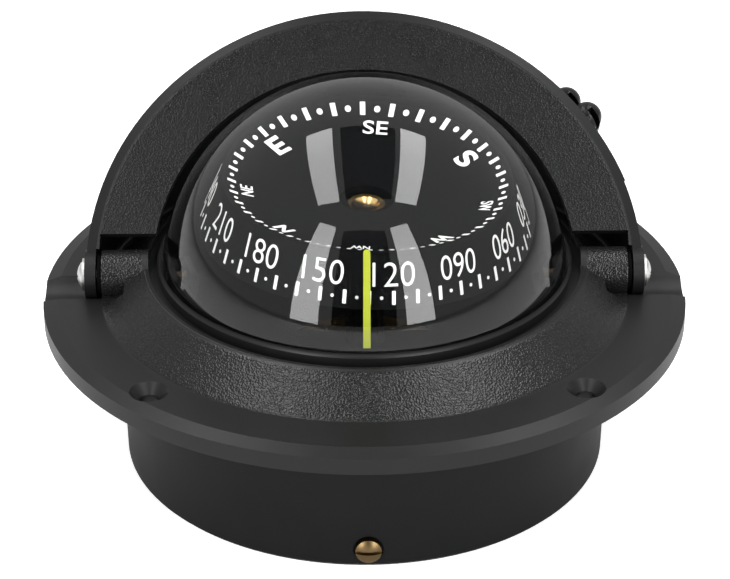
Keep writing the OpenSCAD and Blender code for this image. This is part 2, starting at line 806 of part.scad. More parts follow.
module diaphragm_screws() {
    head_r = diaphragm_screw_r * 2;
    color(steel) round_axis(diaphragm_screws_n, diaphragm_screw_ring_r) {
        translate([0, 0, diaphragm_ring_under_z - diaphragm_screw_r]) cylinder(h = diaphragm_screw_r, r = head_r);
        translate([0, 0, diaphragm_ring_under_z - diaphragm_screw_r / 2])
            cylinder(h = diaphragm_screw_l + diaphragm_screw_r / 2, r = diaphragm_screw_r);
    }
}

module fill_plug() {
    color(brass) translate([lamp_off, lamp_off, 0]) difference() {
        union() {
            translate([0, 0, bowl_under_z - plug_head_h]) cylinder(h = plug_head_h, r = plug_head_r);
            translate([0, 0, bowl_under_z - plug_head_h / 2])
                cylinder(h = bowl_wall + plug_head_h / 2, r = plug_r);
        }
        translate([-plug_head_r - over, -slot_w / 2, bowl_under_z - plug_head_h - over])
            cube([2 * (plug_head_r + over), slot_w, plug_head_h / 2 + over]);
    }
}

module lubber_line() {
    color("#c9d23a") translate([0, -lubber_in, 0]) rotate([90, 0, 0]) linear_extrude(lubber_t) {
        translate([-lubber_w / 2, strip_z])
            square([lubber_w, lubber_top_z - lubber_w / 2 - strip_z]);
        translate([0, lubber_top_z - lubber_w / 2]) circle(lubber_w / 2);
    }
}

module gimbal_pins() {
    color(brass) both_ends() translate([0, 0, gimbal_z])
        bar_x(gimbal_r + pin_r, bracket_out, pin_r);
}

module gimbal_ring() {
    color(case_plastic) difference() {
        tube_z(gimbal_z - gimbal_h / 2, gimbal_z + gimbal_h / 2, gimbal_out_r, gimbal_r);
        both_ends() translate([0, 0, gimbal_z])
            bar_x(gimbal_r - over, gimbal_out_r + over, pin_r + pin_gap);
        both_sides() translate([0, 0, gimbal_z]) bar_x(gimbal_r - over, gimbal_out_r + over, pin_r);
    }
}

module cradle_pins() {
    color(brass) both_sides() translate([0, 0, gimbal_z])
        bar_x(arm_in, gimbal_out_r, pin_r);
}

// Outline of the cradle seen from the front, out to the given half width
module cradle_outline(half, top, under, corner) {
    polygon([
        [-half, top], [-half, under + corner], [-half + corner, under],
        [half - corner, under], [half, under + corner], [half, top]
    ]);
}

module cradle() {
    color(case_plastic) difference() {
        union() {
            translate([0, arm_w / 2, gimbal_z]) rotate([90, 0, 0]) linear_extrude(arm_w) difference() {
                cradle_outline(arm_out, arm_rise, -cradle_drop, cradle_corner);
                cradle_outline(arm_in, arm_rise + over, arm_t - cradle_drop, cradle_corner);
            }
            // The strip for the index post, on a hub
            translate([-lubber_strip_w / 2, -lubber_in, strip_z])
                cube([lubber_strip_w, 2 * lubber_in, arm_t]);
            translate([0, 0, cradle_base_z + arm_t / 2])
                cylinder(h = strip_z + arm_t / 2 - cradle_base_z, r = hub_r);
        }
        both_sides() translate([0, 0, gimbal_z])
            bar_x(arm_in - over, arm_out + over, pin_r + pin_gap);
        translate([0, 0, cradle_base_z - over])
            cylinder(h = strip_z + arm_t - cradle_base_z + over + over, r = post_r);
    }
}

module cradle_weight() {
    color(brass) difference() {
        translate([0, 0, cradle_base_z - weight_h]) cylinder(h = weight_h, r = weight_r);
        translate([0, 0, cradle_base_z - weight_h - over]) cylinder(h = weight_h + over + over, r = post_r);
    }
}

module pivot_post() {
    under = cradle_base_z - weight_h;
    color(steel) {
        translate([0, 0, under]) cylinder(h = tip_z - jewel_gap - point_h - under, r = post_r);
        translate([0, 0, tip_z - jewel_gap - point_h])
            cylinder(h = point_h, r1 = post_r, r2 = post_r / 8);
    }
}

// The floating card's own frame: the pivot point is its origin
module card_frame() {
    translate([0, 0, tip_z]) rotate([0, card_list, 0]) rotate([-card_dip, 0, 0]) children();
}

module card_dial() {
    color(card_black) card_frame() rotate_extrude() difference() {
        polygon([
            [card_hole_r, card_top_h],
            [card_top_r, card_top_h],
            [card_skirt_r, -card_drop],
            [card_skirt_r - card_t, -card_drop],
            [card_top_r - card_t, float_top_h],
            [card_hole_r, float_top_h]
        ]);
        translate([0, card_mid_h]) square([dish_flat_r, dish_r]);
        translate([dish_flat_r, card_mid_h + dish_r]) circle(dish_r);
    }
}

module card_float() {
    color(card_black) card_frame() rotate_extrude() polygon([
        [card_hole_r, float_top_h],
        [float_r, float_top_h],
        [float_r, float_under_h],
        [jewel_r, float_under_h],
        [jewel_r, jewel_top_h],
        [card_hole_r - float_wall, jewel_top_h]
    ]);
}

module card_magnets() {
    color(steel) card_frame() for (side = [-1, 1])
        translate([-magnet_l / 2, side * magnet_off - magnet_w / 2, float_under_h - magnet_h])
            cube([magnet_l, magnet_w, magnet_h]);
}

module jewel_cup() {
    color(brass) card_frame() rotate_extrude() polygon([
        [0, 3 * jewel_gap],
        [post_r, -point_h / 2],
        [jewel_r, -point_h / 2],
        [jewel_r, jewel_top_h],
        [cup_r, jewel_top_h],
        [cup_r, cup_top_h],
        [cup_r - cup_rim_w, cup_top_h],
        [post_r, cup_top_h - cup_hollow],
        [0, cup_top_h - cup_hollow]
    ]);
}

// A compensator rod along +X, with its head in the case's recess
module compensator_rod() {
    head_x = comp_seat_r + comp_gap;
    difference() {
        union() {
            bar_x(-pillar_in - pillar_t, head_x + comp_head_l / 4, comp_rod_r);
            translate([head_x, 0, 0]) rotate([0, 90, 0]) rotate_extrude() comp_head_section();
        }
        translate([head_x + comp_head_l - slot_d, -comp_head_r - over, -slot_w / 2])
            cube([slot_d + over, 2 * (comp_head_r + over), slot_w]);
    }
}

// Half section of a domed head
module comp_head_section() {
    dome_rise = comp_head_l / 3;
    round_r = (comp_head_r * comp_head_r + dome_rise * dome_rise) / (2 * dome_rise);
    intersection() {
        square([comp_head_r, comp_head_l]);
        translate([0, comp_head_l - round_r]) circle(round_r);
    }
}

module compensator_rod_front() {
    color(brass) translate([0, 0, comp_front_z]) rotate([0, 0, -90]) compensator_rod();
}

module compensator_rod_side() {
    color(brass) translate([0, 0, comp_side_z]) compensator_rod();
}

// Two short ring magnets on a rod along +X
module compensator_magnets() {
    both_sides() tube_x(comp_magnet_off, comp_magnet_off + comp_magnet_l, comp_magnet_r, comp_rod_r);
}

module compensator_magnets_front() {
    color(steel) translate([0, 0, comp_front_z]) rotate([0, 0, -90]) compensator_magnets();
}

module compensator_magnets_side() {
    color(steel) translate([0, 0, comp_side_z]) compensator_magnets();
}

module compensator_bushes() {
    color(rubber) {
        translate([0, 0, comp_front_z]) rotate([0, 0, -90])
            tube_x(comp_seat_r - bush_l, comp_seat_r, bush_r, comp_rod_r + comp_gap);
        translate([0, 0, comp_side_z])
            tube_x(comp_seat_r - bush_l, comp_seat_r, bush_r, comp_rod_r + comp_gap);
    }
}

module lamp_lens() {
    color("#b01818") translate([-lamp_off, lamp_off, bowl_under_z]) cylinder(h = bowl_wall, r = lens_r);
}

module lamp_bulb() {
    color("#f2ead2") translate([-lamp_off, lamp_off, case_floor_z + socket_h]) {
        cylinder(h = bulb_l - bulb_r / 2, r = bulb_r);
        translate([0, 0, bulb_l - bulb_r / 2]) cylinder(h = bulb_r / 2, r1 = bulb_r, r2 = bulb_r / 2);
    }
}

module lamp_socket() {
    color(case_plastic) translate([-lamp_off, lamp_off, case_floor_z]) cylinder(h = socket_h, r = socket_r);
}

module lead_grommet() {
    outside = case_r + comp_gap;
    inside = case_r - case_wall - grommet_flange_r * grommet_flange_r / case_r;
    color(rubber) translate([0, 0, grommet_z]) rotate([0, 0, grommet_turn]) difference() {
        union() {
            bar_x(inside - grommet_flange_t, outside + grommet_flange_t, grommet_r);
            bar_x(outside, outside + grommet_flange_t, grommet_flange_r);
            bar_x(inside - grommet_flange_t, inside, grommet_flange_r);
        }
        bar_x(case_r / 2, case_r * 2, lead_r);
    }
}

// The open hood's own frame: the pivot axis is X, and the front face looks along -Y
module hood_frame() {
    translate([0, 0, pivot_z]) rotate([-hood_lean, 0, 0]) children();
}

// Half section of the hood's wall and its flat front face, about the face's own axis
module hood_section() {
    bevel_d = rim_w * 0.4;
    intersection() {
        difference() {
            circle(hood_r);
            circle(hood_inner_r);
        }
        polygon([
            [0, -hood_front],
            [hood_r - rim_w, -hood_front],
            [hood_r + rim_w / 2, bevel_d * 1.5 - hood_front],
            [hood_r + rim_w / 2, hood_r + over],
            [0, hood_r + over]
        ]);
    }
    translate([face_inner_r, -hood_front])
        square([(hood_inner_r + hood_r - rim_w) / 2 - face_inner_r, face_t]);
}

// Wall and front face: the upper half only, and the face ends above the pivots
module hood_shell() {
    face_half = sqrt(hood_inner_r * hood_inner_r - face_cut_h * face_cut_h - hood_front * hood_front);
    difference() {
        rotate([-90, 0, 0]) rotate_extrude() hood_section();
        translate([-hood_r - over, -hood_r, -hood_r - over])
            cube([2 * (hood_r + over), 2 * hood_r + over, hood_r + over]);
        translate([-face_half, -hood_front - over, -over])
            cube([2 * face_half, face_t + over + over, face_cut_h + over]);
    }
}

// Half section of a round-ended rib, standing along its own axis
module rib_section() {
    translate([0, rib_r]) square([rib_r, rib_l - 2 * rib_r]);
    intersection() {
        union() {
            translate([0, rib_r]) circle(rib_r);
            translate([0, rib_l - rib_r]) circle(rib_r);
        }
        square([rib_r, rib_l]);
    }
}

// One thumb rib with the slot in its front end, lying along +Y
module thumb_rib() {
    difference() {
        rotate([-90, 0, 0]) rotate_extrude() rib_section();
        translate([0, -over, -rib_slot_l + rib_slot_w / 4])
            cube([rib_slot_w, rib_slot_d + over, rib_slot_l]);
    }
}

// Thumb ribs on their pad, on the right of the hood's wall
module hood_grip() {
    for (i = [0, 1]) rotate([0, -rib_turns[i], 0])
        translate([hood_r + rib_out, rib_starts[i], 0]) thumb_rib();
    rotate([-90, 0, 0]) rotate([0, 0, -pad_turns[0] - pad_turns[1]])
        rotate_extrude(angle = pad_turns[1]) intersection() {
            difference() {
                circle(hood_r + pad_h);
                circle(hood_r - hood_wall / 2);
            }
            square([hood_r + pad_h, pad_l]);
        }
}

module hood() {
    color(hood_plastic) difference() {
        union() {
            difference() {
                hood_frame() {
                    hood_shell();
                    hood_grip();
                }
                translate([-hood_r - over, -hood_r - over, hood_level_z - hood_r])
                    cube([2 * (hood_r + over), 2 * (hood_r + over), hood_r]);
            }
            both_sides() translate([0, 0, pivot_z]) bar_x(ear_in, ear_out, ear_r);
        }
        both_sides() translate([0, 0, pivot_z]) {
            bar_x(boss_end - over, ear_out + over, shoulder_r + shoulder_gap);
            bar_x(boss_end - over, ear_in, channel_r);
            bar_x(ear_out, ear_out + over, ear_r + over);
        }
    }
}

// Half section of a pan head, flat side at zero
module pan_section(r, h) {
    round_r = (r * r + h * h) / (2 * h);
    translate([0, 0]) square([r, h / 3]);
    intersection() {
        translate([0, h - round_r]) circle(round_r);
        square([r, h]);
    }
}

module hood_screws() {
    head_x = ear_out + shoulder_gap;
    color(steel) both_sides() translate([0, 0, pivot_z]) difference() {
        union() {
            bar_x(boss_end - insert_l, boss_end + hood_thread_r, hood_thread_r);
            bar_x(boss_end, head_x + hood_head_h / 2, shoulder_r);
            translate([head_x, 0, 0]) rotate([0, 90, 0]) rotate_extrude() pan_section(hood_head_r, hood_head_h);
        }
        for (turn = [0, 90]) rotate([turn, 0, 0])
            translate([head_x + hood_head_h - recess_d, -hood_head_r / 2, -recess_w / 2])
            cube([recess_d + over, hood_head_r, recess_w]);
    }
}

module hood_washers() {
    color(steel) both_sides() translate([0, 0, pivot_z])
        tube_x(washer_in, washer_in + washer_t, washer_r, shoulder_r + shoulder_gap);
}

module pivot_inserts() {
    color(brass) both_sides() translate([0, 0, pivot_z])
        tube_x(boss_end - insert_l, boss_end, insert_r, hood_thread_r);
}

bezel();
body_can();
dome();
dome_seal();
bowl();
clamp_ring();
clamp_screws();
body_screws();
diaphragm();
diaphragm_ring();
diaphragm_screws();
fill_plug();
lubber_line();
gimbal_pins();
gimbal_ring();
cradle_pins();
cradle();
cradle_weight();
pivot_post();
card_dial();
card_float();
card_magnets();
jewel_cup();
compensator_rod_front();
compensator_rod_side();
compensator_magnets_front();
compensator_magnets_side();
compensator_bushes();
lamp_lens();
lamp_bulb();
lamp_socket();
lead_grommet();
hood();
hood_screws();
hood_washers();
pivot_inserts();
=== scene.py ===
"""Flush-mount marine compass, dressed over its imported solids.

The solids keep their shapes and get their finishes. The dome is replaced by a shell
whose inner side is wetted by the liquid, and the card gets its printing.
"""
import math

import bmesh
import bpy
from mathutils import Matrix, Vector


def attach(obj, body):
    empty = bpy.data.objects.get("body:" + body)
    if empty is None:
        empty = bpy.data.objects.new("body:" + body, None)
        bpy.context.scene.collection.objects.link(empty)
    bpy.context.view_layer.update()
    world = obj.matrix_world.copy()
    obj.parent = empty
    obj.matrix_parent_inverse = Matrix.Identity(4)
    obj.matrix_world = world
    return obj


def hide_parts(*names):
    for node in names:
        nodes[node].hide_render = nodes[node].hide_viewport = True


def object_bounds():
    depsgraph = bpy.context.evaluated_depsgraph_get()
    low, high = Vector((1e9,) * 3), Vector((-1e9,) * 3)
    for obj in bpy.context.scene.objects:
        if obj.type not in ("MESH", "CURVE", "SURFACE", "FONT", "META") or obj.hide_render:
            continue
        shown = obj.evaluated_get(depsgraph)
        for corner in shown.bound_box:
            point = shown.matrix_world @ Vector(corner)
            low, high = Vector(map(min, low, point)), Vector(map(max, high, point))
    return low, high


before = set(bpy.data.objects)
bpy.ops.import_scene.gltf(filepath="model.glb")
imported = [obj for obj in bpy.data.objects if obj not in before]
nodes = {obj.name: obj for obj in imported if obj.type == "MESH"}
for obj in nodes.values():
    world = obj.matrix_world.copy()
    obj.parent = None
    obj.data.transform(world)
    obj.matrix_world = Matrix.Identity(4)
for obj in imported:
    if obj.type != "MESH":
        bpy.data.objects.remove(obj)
cad_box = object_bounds()

# Sizes, in metres
MM = 0.001
FLANGE_TOP = 4.75 * MM
DOME_RADIUS = 46.1 * MM
DOME_WALL = 2.6 * MM
DOME_CENTRE = 7.4 * MM
DOME_FOOT_TOP = 2.2 * MM
DOME_FOOT_UNDER = -0.6 * MM
DOME_FOOT_RADIUS = 53.3 * MM
BORE = 46.4 * MM
RING_FOOT = 60.0 * MM
RING_CREST = 49.9 * MM
DOME_STEPS = 256
DOME_ARC_STEPS = 72
PIVOT_HEIGHT = 8.0 * MM
HOOD_LEAN = math.radians(46.4)
HOOD_FRONT = 4.4 * MM
HOOD_RADIUS = 63.2 * MM
HOOD_RIM = 2.3 * MM
HOOD_FACE_STEP = 3.0 * MM
CUP_HOLLOW = 2.5 * MM
POINT_HEIGHT = 12.75 * MM
CARD_DIP = math.radians(-5.3)
CARD_LIST = math.radians(2.6)
CARD_MIDDLE = 8.7 * MM
CARD_RIM = 10.555 * MM
DISH_FLAT = 16.1 * MM
DISH_CURVE = 21.0 * MM
CARD_DROP = 0.55 * MM
CARD_TOP_RADIUS = 25.7 * MM
CARD_SKIRT_RADIUS = 27.7 * MM
HEADING = 130.6

# Refractive indices
CLEAR_PLASTIC_INDEX = 1.49
LIQUID_INDEX = 1.42

# The photograph's frame, in pixels, and its fitted view
PHOTO_WIDTH = 730
PHOTO_HEIGHT = 579
FOCAL_PIXELS = 2747
CENTRE_X = 364.5
CENTRE_Y = 285.0
CAMERA_DISTANCE = 627.07 * MM
CAMERA_ELEVATION = math.radians(28.60)
CAMERA_YAW = math.radians(0.9)
SENSOR_WIDTH = 36


class Value:
    """A number socket that takes part in Python sums."""

    def __init__(self, finish, socket):
        self.finish = finish
        self.socket = socket

    def sum_with(self, operation, first, second):
        """One step of arithmetic on two numbers or sockets."""
        return self.finish.node("ShaderNodeMath", {"operation": operation}, {0: first, 1: second})

    def __add__(self, other):
        return self.sum_with("ADD", self, other)

    def __sub__(self, other):
        return self.sum_with("SUBTRACT", self, other)

    def __rsub__(self, other):
        return self.sum_with("SUBTRACT", other, self)

    def __mul__(self, other):
        return self.sum_with("MULTIPLY", self, other)

    def power(self, exponent):
        return self.sum_with("POWER", self, exponent)

    def between(self, low, high):
        """0 at low, 1 at high, straight between them and held beyond."""
        settings = {"clamp": True}
        return self.finish.node("ShaderNodeMapRange", settings, {0: self, 1: low, 2: high})


class Finish:
    """A material that is built up from nodes."""

    def __init__(self, name):
        self.material = bpy.data.materials.new(name)
        self.material.use_nodes = True
        self.tree = self.material.node_tree
        self.tree.nodes.clear()
        self.output = self.tree.nodes.new("ShaderNodeOutputMaterial")

    def node(self, kind, settings=None, inputs=None, output=0):
        """Adds a node, its settings first, and returns one of its outputs."""
        made = self.tree.nodes.new(kind)
        for key, value in (settings or {}).items():
            setattr(made, key, value)
        for key, value in (inputs or {}).items():
            if value is None:
                continue
            if isinstance(value, Value):
                self.tree.links.new(value.socket, made.inputs[key])
            else:
                made.inputs[key].default_value = value
        return Value(self, made.outputs[output])

    def place(self):
        """The point's place on the object."""
        return self.node("ShaderNodeTexCoord", output="Object")

    def axes(self, place):
        """The three numbers of a place."""
        split = self.tree.nodes.new("ShaderNodeSeparateXYZ")
        self.tree.links.new(place.socket, split.inputs[0])
        return [Value(self, socket) for socket in split.outputs]

    def noise(self, size, detail=2.0, roughness=0.5, vector=None):
        """Soft noise of the given grain size."""
        inputs = {"Scale": 1 / size, "Detail": detail, "Roughness": roughness}
        inputs["Vector"] = vector or self.place()
        return self.node("ShaderNodeTexNoise", {}, inputs)

    def mix(self, factor, first, second):
        """A colour that runs from first to second."""
        return self.node("ShaderNodeMix", {"data_type": "RGBA"}, {0: factor, 6: first, 7: second}, 2)

    def bump(self, height, depth, strength=1.0, normal=None):
        """A normal that leans with a height, on top of another normal."""
        inputs = {"Height": height, "Distance": depth, "Strength": strength, "Normal": normal}
        return self.node("ShaderNodeBump", {}, inputs)

    def surface(self, **sockets):
        """The main shader, with its sockets named in plain words."""
        inputs = {key.replace("_", " "): value for key, value in sockets.items()}
        return self.node("ShaderNodeBsdfPrincipled", {}, inputs)

    def done(self, shader):
        """Ends the tree in a shader and returns the material."""
        self.tree.links.new(shader.socket, self.output.inputs["Surface"])
        return self.material


# Black plastic: its cloudiness and texture, and the leather grain with its painted glints
PLASTIC_CLOUD = 9 * MM
PLASTIC_TEXTURE = 0.35 * MM
PLASTIC_RELIEF = 0.02 * MM
CLOUD_IN_GLOSS = 0.08
COOL = 0.06
LEATHER_UNEVEN = 1.6 * MM
LEATHER_GLINT_SPECK = 0.4 * MM
LEATHER_POLISH = 0.14
RING_LEATHER = 0.13 * MM, 0.42 * MM, 3.5
HOOD_LEATHER = 0.08 * MM, 0.42 * MM, 3.0


def grey(level, blue=0.0):
    """An almost neutral colour."""
    return (level, level * (1 + blue / 3), level * (1 + blue), 1)


def add_leather(finish, colour, rough, normal, level, grain):
    """Adds leather grain where its mask says: cells, glossier, with paler specks that are painted
    glints.
    """
    mask_maker, depth, size, glint_speck_level = grain
    mask = mask_maker(finish)
    place = finish.place()
    cells = finish.node(
        "ShaderNodeTexVoronoi",
        {"feature": "SMOOTH_F1"},
        {"Vector": place, "Scale": 1 / size, "Smoothness": 0.6, "Randomness": 1.0},
    )
    uneven = finish.noise(LEATHER_UNEVEN, 3.0, 0.6, place)
    leather = (cells * 0.7 + uneven * 0.6) * mask
    # Painted glints: paler specks in the colour stand for the grain's highlights.
    glint_specks = finish.noise(LEATHER_GLINT_SPECK, 2.0, 0.6, place).between(0.5, 0.68) * mask
    return (
        finish.mix(glint_specks * 0.7, colour, grey(level * glint_speck_level)),
        rough - mask * LEATHER_POLISH,
        finish.bump(leather, depth, 1.0, normal),
    )


def moulded_black(name, level, roughness, gloss, grain=None, shade_mask=None):
    """Black moulded plastic: faintly cloudy, finely textured, with leather grain if that is given, and
    near black with painted shade where a shade mask says.
    """
    finish = Finish(name)
    cloud = finish.noise(PLASTIC_CLOUD, 3.0)
    fine = finish.noise(PLASTIC_TEXTURE, 2.0)
    colour = finish.mix(cloud, grey(level * 0.85, COOL), grey(level * 1.2, COOL))
    rough = cloud * CLOUD_IN_GLOSS + (roughness - CLOUD_IN_GLOSS / 2)
    if shade_mask:
        # Painted shade: the masked part is painted near black, made rougher and left without texture.
        dark = shade_mask(finish)
        colour = finish.mix(dark, colour, grey(level * 0.1))
        rough = rough + dark * 0.5
        fine = fine * (1 - dark)
    normal = finish.bump(fine, PLASTIC_RELIEF, 0.5)
    if grain:
        colour, rough, normal = add_leather(finish, colour, rough, normal, level, grain)
    shader = finish.surface(Base_Color=colour, Roughness=rough, Normal=normal, Specular_IOR_Level=gloss)
    return finish.done(shader)


def ring_mask(finish):
    """The raised ring's sloping face."""
    x, y, z = finish.axes(finish.place())
    radius = (x * x + y * y).power(0.5)
    outer = radius.between(RING_FOOT + 0.5 * MM, RING_FOOT - 0.5 * MM)
    inner = radius.between(RING_CREST + 0.3 * MM, RING_CREST + 0.8 * MM)
    height = z.between(FLANGE_TOP - 0.2 * MM, FLANGE_TOP)
    return outer * inner * height


def bore_shade_mask(finish):
    """The bezel's bore behind the dome, where shade is painted near black."""
    x, y, z = finish.axes(finish.place())
    return (x * x + y * y).power(0.5).between(BORE + 0.4 * MM, BORE + 0.1 * MM)


def hood_mask(finish):
    """The hood's flat front face inside its rim, and its round back."""
    x, y, z = finish.axes(finish.place())
    up = z - PIVOT_HEIGHT
    forward = y * math.cos(HOOD_LEAN) - up * math.sin(HOOD_LEAN)
    across = (x * x + y * y + up * up - forward * forward).power(0.5)
    face = forward.between(-HOOD_FRONT + 0.25 * MM, -HOOD_FRONT + 0.05 * MM)
    inside_rim = across.between(HOOD_RADIUS - HOOD_RIM, HOOD_RADIUS - HOOD_RIM - 0.6 * MM)
    back = forward.between(-HOOD_FRONT + HOOD_FACE_STEP, -HOOD_FRONT + HOOD_FACE_STEP + 0.6 * MM)
    distance = (across * across + forward * forward).power(0.5)
    outside = distance.between(HOOD_RADIUS - 0.6 * MM, HOOD_RADIUS - 0.3 * MM)
    return face * inside_rim + back * outside


def cup_hollow_shade_mask(finish):
    """The hollow in the jewel cup's end, where shade is painted."""
    x, y, z = finish.axes(finish.place())
    return (x * x + y * y).power(0.5).between(CUP_HOLLOW, CUP_HOLLOW - 0.4 * MM)


SHADED_BRASS = (0.03, 0.022, 0.015, 1)


def plain_metal(name, colour, roughness, turned=0.0, shade_mask=None):
    """Metal with a little unevenness, and painted shade where a mask says."""
    finish = Finish(name)
    cloud = finish.noise(1.2 * MM, 3.0)
    rough = cloud * 0.12 + (roughness - 0.06)
    dark = tuple(0.75 * part for part in colour[:3]) + (1,)
    tone = finish.mix(cloud, dark, colour)
    if shade_mask:
        # Painted shade: the masked part turns to dark shaded brass.
        tone = finish.mix(shade_mask(finish), tone, SHADED_BRASS)
    fine = finish.noise(0.15 * MM, 2.0)
    normal = finish.bump(fine, (0.004 + turned * 0.01) * MM, 0.6)
    return finish.done(finish.surface(Base_Color=tone, Roughness=rough, Metallic=1.0, Normal=normal))


def plain_plastic(name, colour, roughness, gloss=0.5):
    """Plastic or rubber, faintly cloudy; parts in the liquid have a gloss near zero."""
    finish = Finish(name)
    cloud = finish.noise(4 * MM, 2.0)
    dark = tuple(0.88 * part for part in colour[:3]) + (1,)
    tone = finish.mix(cloud, dark, colour)
    rough = cloud * 0.06 + (roughness - 0.03)
    normal = finish.bump(finish.noise(0.3 * MM), 0.01 * MM, 0.4)
    shader = finish.surface(Base_Color=tone, Roughness=rough, Normal=normal, Specular_IOR_Level=gloss)
    return finish.done(shader)


def clear_wall(name, index, gloss):
    """Clear plastic that lets the lamps' light through to what is under it."""
    finish = Finish(name)
    faint = finish.noise(30 * MM, 1.0)
    rough = faint * 0.004
    shader = finish.surface(
        Base_Color=(0.985, 0.99, 0.99, 1),
        Roughness=rough,
        IOR=index,
        Transmission_Weight=1.0,
        Specular_IOR_Level=gloss,
    )
    through = finish.node("ShaderNodeBsdfTransparent", {}, {"Color": (0.96, 0.97, 0.97, 1)})
    shadow = finish.node("ShaderNodeLightPath", output="Is Shadow Ray")
    return finish.done(finish.node("ShaderNodeMixShader", {}, {0: shadow, 1: shader, 2: through}))


# The bezel's bore behind the dome gets painted shade.
bezel_black = moulded_black("bezel black", 0.008, 0.36, 0.29, (ring_mask, *RING_LEATHER), bore_shade_mask)
hood_black = moulded_black("hood black", 0.006, 0.42, 0.24, (hood_mask, *HOOD_LEATHER))
case_black = moulded_black("case black", 0.009, 0.42, 0.12)
inner_black = plain_plastic("inner black", grey(0.006), 0.35, 0.0)
card_black = plain_plastic("card black", grey(0.005, 0.08), 0.5, 0.0)
rubber_black = plain_plastic("rubber black", grey(0.01), 0.7, 0.2)
print_white = plain_plastic("print white", (0.72, 0.72, 0.7, 1), 0.5, 0.0)
index_yellow = plain_plastic("index yellow", (0.38, 0.42, 0.04, 1), 0.35, 0.0)
brass = plain_metal("turned brass", (0.82, 0.56, 0.22, 1), 0.25, 1.0)
aged_brass = plain_metal("aged brass", (0.22, 0.15, 0.07, 1), 0.34)
# Painted shade: the gimbal and cradle pins are brass painted nearly black, so they show no glints.
pin_brass_painted_dark = plain_metal("brass painted dark as shade", (0.04, 0.03, 0.02, 1), 0.5)
# The jewel cup's hollow gets painted shade.
cup_brass = plain_metal("cup brass", (0.82, 0.56, 0.22, 1), 0.25, 1.0, cup_hollow_shade_mask)
steel = plain_metal("stainless steel", (0.66, 0.66, 0.65, 1), 0.3)
bright_steel = plain_metal("bright steel", (0.82, 0.82, 0.8, 1), 0.38)
magnet_grey = plain_metal("magnet steel", (0.3, 0.3, 0.31, 1), 0.4)
red_clear = plain_plastic("red lens", (0.5, 0.02, 0.02, 1), 0.15)
bulb_pale = plain_plastic("bulb", (0.8, 0.76, 0.62, 1), 0.1)
dome_clear = clear_wall("clear dome", CLEAR_PLASTIC_INDEX, 0.62)
dome_wetted = clear_wall("clear dome wetted side", CLEAR_PLASTIC_INDEX / LIQUID_INDEX, 0.5)

CAD_FINISHES = {
    "bezel": bezel_black,
    "body_can": case_black,
    "hood": hood_black,
    "bowl": inner_black,
    "gimbal_ring": inner_black,
    "cradle": inner_black,
    "lamp_socket": inner_black,
    "compensator_bushes": inner_black,
    "card_dial": card_black,
    "card_float": card_black,
    "dome_seal": rubber_black,
    "diaphragm": rubber_black,
    "lead_grommet": rubber_black,
    "lubber_line": index_yellow,
    "diaphragm_ring": brass,
    "fill_plug": brass,
    "gimbal_pins": pin_brass_painted_dark,
    "cradle_pins": pin_brass_painted_dark,
    "cradle_weight": brass,
    "jewel_cup": cup_brass,
    "compensator_rod_front": aged_brass,
    "compensator_rod_side": aged_brass,
    "pivot_inserts": brass,
    "clamp_ring": steel,
    "clamp_screws": steel,
    "body_screws": steel,
    "diaphragm_screws": steel,
    "pivot_post": steel,
    "hood_washers": inner_black,
    "hood_screws": bright_steel,
    "card_magnets": magnet_grey,
    "compensator_magnets_front": magnet_grey,
    "compensator_magnets_side": magnet_grey,
    "lamp_lens": red_clear,
    "lamp_bulb": bulb_pale,
    "dome": dome_clear,
}
for name, material in CAD_FINISHES.items():
    nodes[name].data.materials.clear()
    nodes[name].data.materials.append(material)


SHARP_ANGLE = math.radians(30)


def finished(name, mesh_builder, materials):
    """Turns a bmesh into a smooth-shaded object with sharp edges where it turns."""
    mesh = bpy.data.meshes.new(name)
    mesh_builder.to_mesh(mesh)
    mesh_builder.free()
    for material in materials:
        mesh.materials.append(material)
    mesh.shade_smooth()
    mesh.set_sharp_from_angle(angle=SHARP_ANGLE)
    made = bpy.data.objects.new(name, mesh)
    bpy.context.scene.collection.objects.link(made)
    return made


def spun(outline, steps):
    """Spins a closed outline of (radius, height) pairs about the compass axis."""
    shape = bmesh.new()
    corners = [shape.verts.new((radius, 0, height)) for radius, height in outline]
    for first, second in zip(corners, corners[1:] + corners[:1]):
        if first.co.x > 0 or second.co.x > 0:
            shape.edges.new((first, second))
    bmesh.ops.spin(
        shape,
        geom=shape.verts[:] + shape.edges[:],
        axis=(0, 0, 1),
        cent=(0, 0, 0),
        angle=math.tau,
        steps=steps,
        use_merge=True,
    )
    bmesh.ops.remove_doubles(shape, verts=shape.verts, dist=1e-7)
    bmesh.ops.recalc_face_normals(shape, faces=shape.faces)
    return shape


def arc(radius, centre, start, end, count):
    """Points of (radius, height) along an arc about a point of the axis; angles from the horizontal."""
    angles = [math.radians(start + (end - start) * i / count) for i in range(count + 1)]
    return [(max(0.0, radius * math.cos(a)), centre + radius * math.sin(a)) for a in angles]


def make_dome():
    """The clear dome with its foot flange; its inner side is wetted by the liquid."""
    inner = DOME_RADIUS - DOME_WALL
    outline = [(inner, DOME_FOOT_UNDER)]
    outline += arc(inner, DOME_CENTRE, 0, 90, DOME_ARC_STEPS)
    outline += arc(DOME_RADIUS, DOME_CENTRE, 90, 0, DOME_ARC_STEPS)
    outline += [
        (DOME_RADIUS, DOME_FOOT_TOP),
        (DOME_FOOT_RADIUS, DOME_FOOT_TOP),
        (DOME_FOOT_RADIUS, DOME_FOOT_UNDER),
    ]
    shape = spun(outline, DOME_STEPS)
    centre = Vector((0, 0, DOME_CENTRE))
    middle = (inner + DOME_RADIUS) / 2
    for face in shape.faces:
        point = face.calc_center_median()
        across = point.to_2d().length
        wet_dome = point.z > DOME_CENTRE and (point - centre).length < middle
        wet_collar = point.z <= DOME_CENTRE and across < middle and abs(face.normal.z) < 0.5
        face.material_index = int(wet_dome or wet_collar)
    return finished("dome_shell", shape, [dome_clear, dome_wetted])


dome_shell = make_dome()
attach(dome_shell, "base")
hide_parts("dome")


